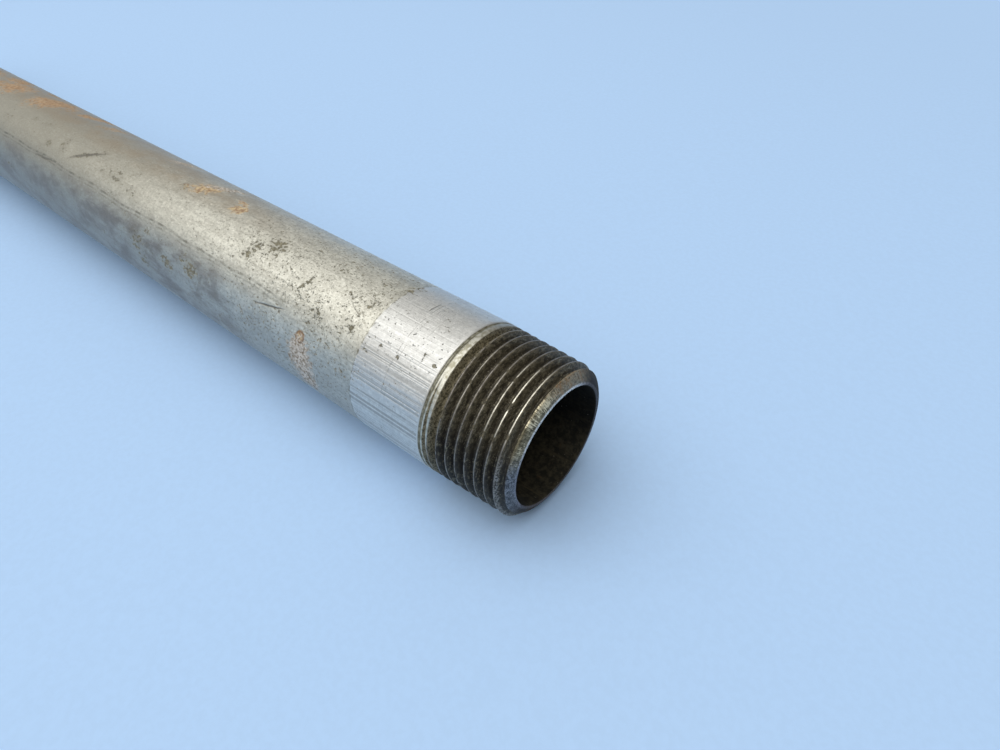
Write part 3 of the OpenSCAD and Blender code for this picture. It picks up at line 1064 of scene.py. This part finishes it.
def casting_grid():
    """The outer skin, with its mould line and the roughness of sand."""
    rounding = MOUTH_ROUND * (1 - np.cos(np.linspace(0, math.pi / 2, 6)))
    bands = np.arange(MOUTH_ROUND_END, BAND_WIDTH + 2.0, CLOSE_CAST_STEP)
    half = np.arange(bands[-1] + CAST_STEP, sweep_length / 2, CAST_STEP)
    along = np.concatenate([rounding, bands, half])
    along = np.concatenate([along, [sweep_length / 2], sweep_length - along[::-1]])
    grid_along, grid_round = rings(along, ELBOW_COLUMNS)
    radius = skin_r(grid_along)
    points = sweep(grid_along, grid_round, radius)
    from_mouth = np.minimum(grid_along, sweep_length - grid_along)
    seam_gap = np.abs(radius * np.sin(grid_round))
    seam = SEAM_HIGH * np.exp(-(seam_gap / SEAM_WIDE) ** 2) * (0.75 + 0.35 * lumps(points, 5.0, 21))
    seam = seam * (0.35 + 0.65 * smooth_step(from_mouth, BAND_WIDTH - 0.5, BAND_WIDTH + 1.5))
    sand = 0.045 * lumps(points, 1.1, 22) + 0.055 * lumps(points, 2.8, 23)
    sand = sand + 0.07 * lumps(points, 8.0, 24)
    rough = smooth_step(from_mouth, 0.05, 1.2) * (np.clip(seam, 0, SEAM_HIGH) + sand - 0.06)
    return sweep(grid_along, grid_round, np.minimum(radius + rough, band_r))


# %% Elbow threads and waterway
thread_end = engaged - (SOCKET_DEPTH - LIP_LEN)


def socket_thread_r(inward, angles):
    """Radius of the female thread, opened by a chamfer at its mouth and closed by the lip."""
    cut = crest_r(inward) + THREAD_CLEARANCE - thread_depth * (1 - thread_height(inward, angles))
    from_recess = engaged - recess_depth - inward
    cut = np.maximum(cut, CHAMFER_R - from_recess)
    at_mouth = inward >= engaged - recess_depth - HAIR
    at_lip = inward <= thread_end + HAIR
    return np.where(at_mouth, CHAMFER_R, np.where(at_lip, LIP_R, cut))


def inlet_place(inward, angles, radius):
    """Points of the mouth that the pipe is screwed into."""
    return sweep(engaged - inward, angles - math.pi / 2, radius)


def outlet_place(inward, angles, radius):
    """Points of the open mouth."""
    return sweep(sweep_length - engaged + inward, math.pi - angles, radius)


def mouth_rows(from_mouth_of):
    """Rows over the mouth's face, down the plain recess and in to the thread's chamfer."""
    face_r = float(skin_r(np.array(0.0)))
    depth, radius = np.array([
        (0.0, face_r), (0.0, (face_r + recess_r) / 2), (0.0, recess_r + 0.25),
        (0.10, recess_r + 0.04), (0.30, recess_r), (recess_depth - 0.15, recess_r),
        (recess_depth, recess_r - 0.2), (recess_depth, CHAMFER_R)]).T
    grid_depth, grid_round = rings(depth, ELBOW_COLUMNS)
    return sweep(from_mouth_of(grid_depth), grid_round, radius[:, None])


def waterway_grid():
    """The cast bore between the two lips."""
    start = SOCKET_DEPTH - LIP_LEN
    end = sweep_length - start
    middle = np.linspace(start + 1.6, end - 1.6, WATERWAY_ROWS)
    along = np.concatenate([[start, start + LIP_LEN], middle, [end - LIP_LEN, end]])
    grid_along, grid_round = rings(along, ELBOW_COLUMNS)
    from_lip = np.minimum(grid_along, sweep_length - grid_along) - start
    opens = smooth_step(from_lip, LIP_LEN, LIP_LEN + 0.6)
    radius = LIP_R + (WATERWAY_R - LIP_R) * opens
    points = sweep(grid_along, grid_round, radius)
    rough = opens * (0.06 * lumps(points, 1.6, 31) + 0.05 * lumps(points, 5.0, 32))
    return sweep(grid_along, grid_round, radius + rough)


def elbow_patches():
    """The grids of the whole elbow, inside and out."""
    span = (thread_end, engaged - recess_depth, socket_thread_r)
    return [
        Patch(casting_grid(), CAST),
        Patch(mouth_rows(lambda depth: depth), CUT),
        Patch(mouth_rows(lambda depth: sweep_length - depth), CUT),
        Patch(helix_grid(*span, inlet_place, ELBOW_COLUMNS, THREAD_ROWS), CUT, THREAD_ROWS),
        Patch(helix_grid(*span, outlet_place, ELBOW_COLUMNS, THREAD_ROWS), CUT, THREAD_ROWS),
        Patch(waterway_grid(), CAST)]


print(f"the elbow's centre line is {sweep_length:.1f} long, {bend_length:.1f} of it bent")

# %% [markdown]
# ## Cast iron and cut iron
#
# The casting's skin is dipped in zinc and has gone dull: a mottled grey with a pale bloom
# and a few freckles of rust along the mould line. Where a tap has cut the thread the iron is
# bare, darker and browner.

# %% Elbow iron
def cast_iron_skin():
    """The casting's outside and waterway: dull zinc with bloom, grit, rust and specks."""
    iron = Shader("Dull cast iron")
    height = iron.parts(iron.place)[2]
    patches = iron.noise(0.16, 4.0, 0.6)
    bloom = iron.noise(0.7, 5.0, 0.65)
    sand = iron.noise(2.6, 4.0, 0.7)
    near_seam = (height * height).rise(5.0, 0.3)
    rust = iron.noise(0.42, 5.0, 0.68).rise(0.56, 0.68) * near_seam.at_least(0.45)
    rust_tone = iron.noise(1.6, 3.0).rise(0.4, 0.62)
    rust_colour = iron.blend(rust_tone, (0.22, 0.095, 0.035), (0.40, 0.20, 0.09))
    specks = iron.noise(1.5, 2.0, 0.5).rise(0.70, 0.74)
    colour = iron.coats(
        iron.blend(bloom.rise(0.36, 0.66), (0.25, 0.245, 0.228), (0.31, 0.305, 0.287)),
        (patches.rise(0.45, 0.65) * 0.35, (0.185, 0.178, 0.162)),
        (sand.rise(0.58, 0.74) * 0.40, (0.52, 0.51, 0.48)),
        (sand.rise(0.44, 0.30) * 0.45, (0.10, 0.097, 0.088)),
        (rust * 0.8, rust_colour),
        (specks * 0.8, (0.055, 0.048, 0.036)))
    dirty = rust.above(specks)
    roughness = 0.40 + 0.12 * bloom + 0.20 * dirty
    metal = 0.82 - 0.60 * dirty
    relief = 1.1 * sand + 0.25 * bloom - 0.9 * specks
    return iron.dress(colour, roughness, metal, relief, 0.10)


def cut_iron():
    """The elbow's threads and mouths: bare iron with grit and rust."""
    iron = Shader("Cut iron thread")
    mottled = iron.noise(0.9, 4.0, 0.65)
    fine = iron.noise(3.6, 4.0, 0.7)
    rust = iron.noise(0.5, 4.0, 0.7).rise(0.54, 0.68)
    colour = iron.coats(
        iron.blend(mottled.rise(0.34, 0.68), (0.080, 0.070, 0.054), (0.145, 0.131, 0.108)),
        (fine.rise(0.56, 0.74) * 0.4, (0.32, 0.30, 0.26)),
        (rust * 0.6, (0.20, 0.095, 0.040)))
    roughness = 0.48 + 0.15 * mottled + 0.15 * rust
    metal = 0.60 - 0.4 * rust
    return iron.dress(colour, roughness, metal, fine + 0.5 * mottled, 0.035)


elbow = welded_piece("malleable_elbow", elbow_patches(), [cast_iron_skin(), cut_iron()])
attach(elbow, "elbow")
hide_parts("elbow")

# %% [markdown]
# ## The bead of joint compound
#
# Paste that was squeezed out as the joint went home has dried in the elbow's mouth. It fills
# the recess, bulges unevenly out of it and keeps the print of the pipe's thread inside. It is
# a ring whose profile changes as it goes round, with a chalky surface.

# %% Joint compound
BEAD_COLUMNS = 180
BEAD_ROWS = 34
BEAD_GAP = 0.05
BEAD_PRINT = 0.35
LEAST_BULGE = 0.45
bead_low, bead_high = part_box("joint_compound")
bead_back = bead_low.x / METRES + pipe_len
bead_front = bead_high.x / METRES + pipe_len
bead_outer_r = bead_high.z / METRES


def compound_grid():
    """A closed ring: out from the recess, over the bulge and back along the thread."""
    angles = columns_round(BEAD_COLUMNS)
    half_rows = BEAD_ROWS // 2
    circle = np.stack([np.cos(angles), np.sin(angles), np.zeros_like(angles)], axis=-1) * 14
    swell = 0.80 + 0.20 * lumps(circle, 6.0, 41) + 0.10 * lumps(circle, 2.0, 42)
    front = engaged + (bead_front - engaged) * np.clip(swell, LEAST_BULGE, 1.0)
    inner = crest_r(engaged) + BEAD_GAP + 0.10
    everywhere = np.ones(BEAD_COLUMNS)
    rows = []
    for turn in np.linspace(0, math.pi / 2, half_rows):
        bulge_r = inner + (bead_outer_r - inner) * math.cos(turn)
        rows.append((engaged + (front - engaged) * math.sin(turn), bulge_r * everywhere))
    for share in np.linspace(0, 1, half_rows)[1:]:
        inward = front + (bead_back - front) * share
        thread = crest_r(inward) - thread_depth * (1 - thread_height(inward, angles))
        rows.append((inward, np.maximum(thread + BEAD_GAP, inner - BEAD_PRINT)))
    rows.append((bead_back * everywhere, bead_outer_r * everywhere))
    rows.append((engaged * everywhere, bead_outer_r * everywhere))
    inward = np.stack([row[0] for row in rows])
    radius = np.stack([row[1] for row in rows])
    angles = np.broadcast_to(angles, inward.shape)
    points = far_place(inward, angles, radius)
    bulging = smooth_step(inward, engaged + 0.05, engaged + 0.3) * (radius > inner + 0.05)
    hollows = 0.11 + 0.13 * lumps(points, 1.3, 43) + 0.08 * lumps(points, 0.5, 44)
    return far_place(inward, angles, radius - bulging * np.clip(hollows, 0, None))


def dried_paste():
    """Dried compound: chalky, gritty and stained."""
    paste = Shader("Dried paste")
    chalk = paste.noise(0.8, 4.0, 0.65)
    grit = paste.noise(4.0, 4.0, 0.7)
    stain = paste.noise(0.35, 3.0).rise(0.55, 0.68)
    colour = paste.coats(
        paste.blend(chalk.rise(0.36, 0.64), (0.50, 0.47, 0.38), (0.70, 0.68, 0.60)),
        (grit.rise(0.60, 0.74) * 0.5, (0.30, 0.26, 0.19)),
        (stain * 0.5, (0.36, 0.24, 0.13)))
    return paste.dress(colour, 0.86 + 0.1 * chalk, 0.0, grit + 0.6 * chalk, 0.10)


compound = welded_piece("compound_bead", [Patch(compound_grid())], [dried_paste()])
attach(compound, "compound_bead")
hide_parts("joint_compound")

# %% [markdown]
# ## The table and the light
#
# The assembly lies on a sheet of pale blue paper. The elbow's bands are thicker than the pipe,
# so the sheet, as the parts feel it, slopes a little: it touches the barrel behind the free
# thread and the band at the far end. Close to the parts it is plain matt paper that takes
# their shadow. Further out it glows in its own colour for the rays that see it, and so does
# the low part of the world, so that paper and backdrop meet without a line. That glow is kept
# from diffuse rays, and adds nothing to the light on the parts.

# %% Paper floor
PAPER_BLUE = (0.44, 0.62, 0.87)
FIBRE_DIM = 0.97
BLACK = (0.0, 0.0, 0.0)
FLOOR_HALF = 6.0
PAPER_NEAR_MM = 230.0
PAPER_FAR_MM = 560.0

touch_near_x = -(thread_len + 1.0)
touch_far_x = mouth_x - BAND_WIDTH / 2
floor_slope = (band_r - pipe_r) / (touch_near_x - touch_far_x)


def floor_z(x):
    """Height of the paper under a point, in metres."""
    return floor_slope * (x - touch_near_x * METRES) - pipe_r * METRES


def seen_directly(shader):
    """1 for camera, glossy and transmission rays, and 0 for the rays that light other things."""
    seen = shader.node("ShaderNodeLightPath", {}, {}, output="Is Camera Ray")
    for ray in ("Is Glossy Ray", "Is Transmission Ray"):
        seen = seen.above(shader.node("ShaderNodeLightPath", {}, {}, output=ray))
    return seen


def paper_material():
    """Paper that is matt near the parts and glows in its own colour further out."""
    paper = Shader("Pale blue paper")
    x, y = paper.parts(paper.place)[:2]
    from_middle = paper.length(paper.joined(x + pipe_len / 2, y, 0.0))
    far = from_middle.rise(PAPER_NEAR_MM, PAPER_FAR_MM)
    fibres = paper.noise(0.9, 3.0, 0.6)
    dimmed = tuple(FIBRE_DIM * part for part in PAPER_BLUE)
    sheet = paper.blend(fibres.rise(0.3, 0.7), dimmed, PAPER_BLUE)
    matt = paper.blend(far, sheet, BLACK)
    glow = paper.blend(far * seen_directly(paper), BLACK, PAPER_BLUE)
    return paper.finish(
        Base_Color=matt, Emission_Color=glow, Emission_Strength=1.0, Roughness=0.85,
        Specular_IOR_Level=0.0)


unit_corners = [(-1, -1), (1, -1), (1, 1), (-1, 1)]
floor_corners = [(x * FLOOR_HALF, y * FLOOR_HALF) for x, y in unit_corners]
floor_mesh = bpy.data.meshes.new("Floor")
floor_mesh.from_pydata([(x, y, floor_z(x)) for x, y in floor_corners], [], [(0, 1, 2, 3)])
floor_mesh.materials.append(paper_material())
floor = placed_object("Floor", floor_mesh)
print(f"the paper slopes {math.degrees(math.atan(floor_slope)):.2f} degrees along the pipe")

# %% Softbox and studio
DIM_SIDE = (0.12, 0.12, 0.125)
BRIGHT_SIDE = (0.60, 0.60, 0.59)
STUDIO_STRENGTH = 0.97
BRIGHT_TOWARD = (-0.50, -0.35, 0.79)
SOFTBOX_PLACE = (-0.30, -0.336, 1.20)
SOFTBOX_TARGET = (-0.06, 0.0, 0.0)
SOFTBOX_SIZE = (1.68, 1.92)
SOFTBOX_WATTS = 15.8


class StudioShader(Shader):
    """The world: white diffusers all round, brightest over one shoulder, and a low backdrop."""

    def __init__(self, name):
        self.material = bpy.data.worlds.new(name)
        self.material.use_nodes = True
        self.tree = self.material.node_tree
        self.surface = self.tree.nodes["Background"]
        direction = self.tree.nodes.new("ShaderNodeTexCoord").outputs["Generated"]
        self.place = Signal(self, direction)


studio = StudioShader("Studio")
east, north, up = studio.parts(studio.place)
toward = east * BRIGHT_TOWARD[0] + north * BRIGHT_TOWARD[1] + up * BRIGHT_TOWARD[2]
diffusers = studio.blend(toward.rise(-0.5, 0.6), DIM_SIDE, BRIGHT_SIDE)
in_camera = studio.node("ShaderNodeLightPath", {}, {}, output="Is Camera Ray")
backdrop = in_camera.above(up.rise(0.26, 0.04) * seen_directly(studio))
backdrop_colour = tuple(part / STUDIO_STRENGTH for part in PAPER_BLUE)
bpy.context.scene.world = studio.finish(
    Color=studio.blend(backdrop, diffusers, backdrop_colour), Strength=STUDIO_STRENGTH)

light = bpy.data.lights.new("Overhead softbox", "AREA")
light.shape = "RECTANGLE"
light.size, light.size_y = SOFTBOX_SIZE
light.energy = SOFTBOX_WATTS
lamp = placed_object("Overhead softbox", light)
lamp.location = SOFTBOX_PLACE
away = Vector(SOFTBOX_PLACE) - Vector(SOFTBOX_TARGET)
lamp.rotation_euler = away.to_track_quat("Z", "Y").to_euler()
bpy.context.scene.view_settings.view_transform = "Standard"
print(f"softbox of {SOFTBOX_WATTS} W, {light.size:.2f} by {light.size_y:.2f} m")
